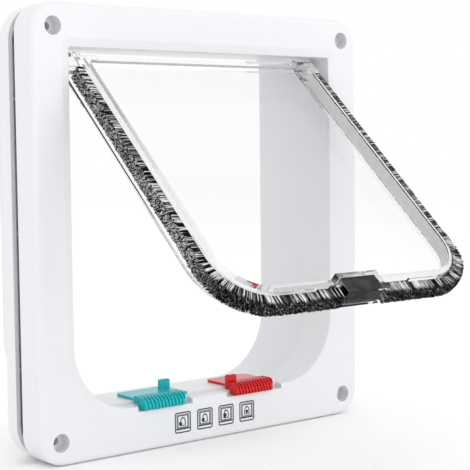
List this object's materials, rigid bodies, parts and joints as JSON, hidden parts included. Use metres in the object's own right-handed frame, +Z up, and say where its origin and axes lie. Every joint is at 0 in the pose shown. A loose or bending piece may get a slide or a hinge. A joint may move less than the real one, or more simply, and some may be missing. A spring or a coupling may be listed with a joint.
{
  "type": "cat flap",
  "caption": "Rectangular door flap for cats: two clamped frames with a tunnel, a clear top-hung swinging panel edged in brush pile, and coloured lock sliders on the sill.",
  "frame": {"origin": "centre of the four corner screw holes, on the plane of the indoor face", "axes": "+X to the right as seen from indoors, +Y outdoors through the door, +Z up"},
  "size_m": [0.235, 0.2017, 0.25],
  "materials": {
    "white_frame": "glossy",
    "clear_flap": "clear glossy",
    "brush_pile": "grey pile",
    "clear_case": "clear glossy",
    "black_magnet": "satin black",
    "pin_steel": "plain",
    "teal_plastic": "glossy",
    "red_plastic": "glossy"
  },
  "bodies": {
    "frame": {"front_frame": "white_frame", "rear_frame": "white_frame", "hinge_pin_left": "pin_steel", "hinge_pin_right": "pin_steel", "sill_magnet": "black_magnet"},
    "flap": {"flap_panel": "clear_flap", "pile_strip_left": "brush_pile", "pile_strip_right": "brush_pile", "magnet_case": "clear_case", "magnet_case_lid": "clear_case", "flap_magnet": "black_magnet"},
    "teal_lock": {"slider_teal": "teal_plastic"},
    "red_lock": {"slider_red": "red_plastic"}
  },
  "joints": [
    {"name": "flap_swing", "type": "hinge", "parent": "frame", "child": "flap", "pos_m": [0, 0.018, 0.0975], "axis": [1, 0, 0], "range_deg": [-12.5, 112.5]},
    {"name": "teal_slide", "type": "slide", "parent": "frame", "child": "teal_lock", "axis": [1, 0, 0], "range_m": [-0.0025, 0.005]},
    {"name": "red_slide", "type": "slide", "parent": "frame", "child": "red_lock", "axis": [1, 0, 0], "range_m": [-0.005, 0.007]}
  ]
}
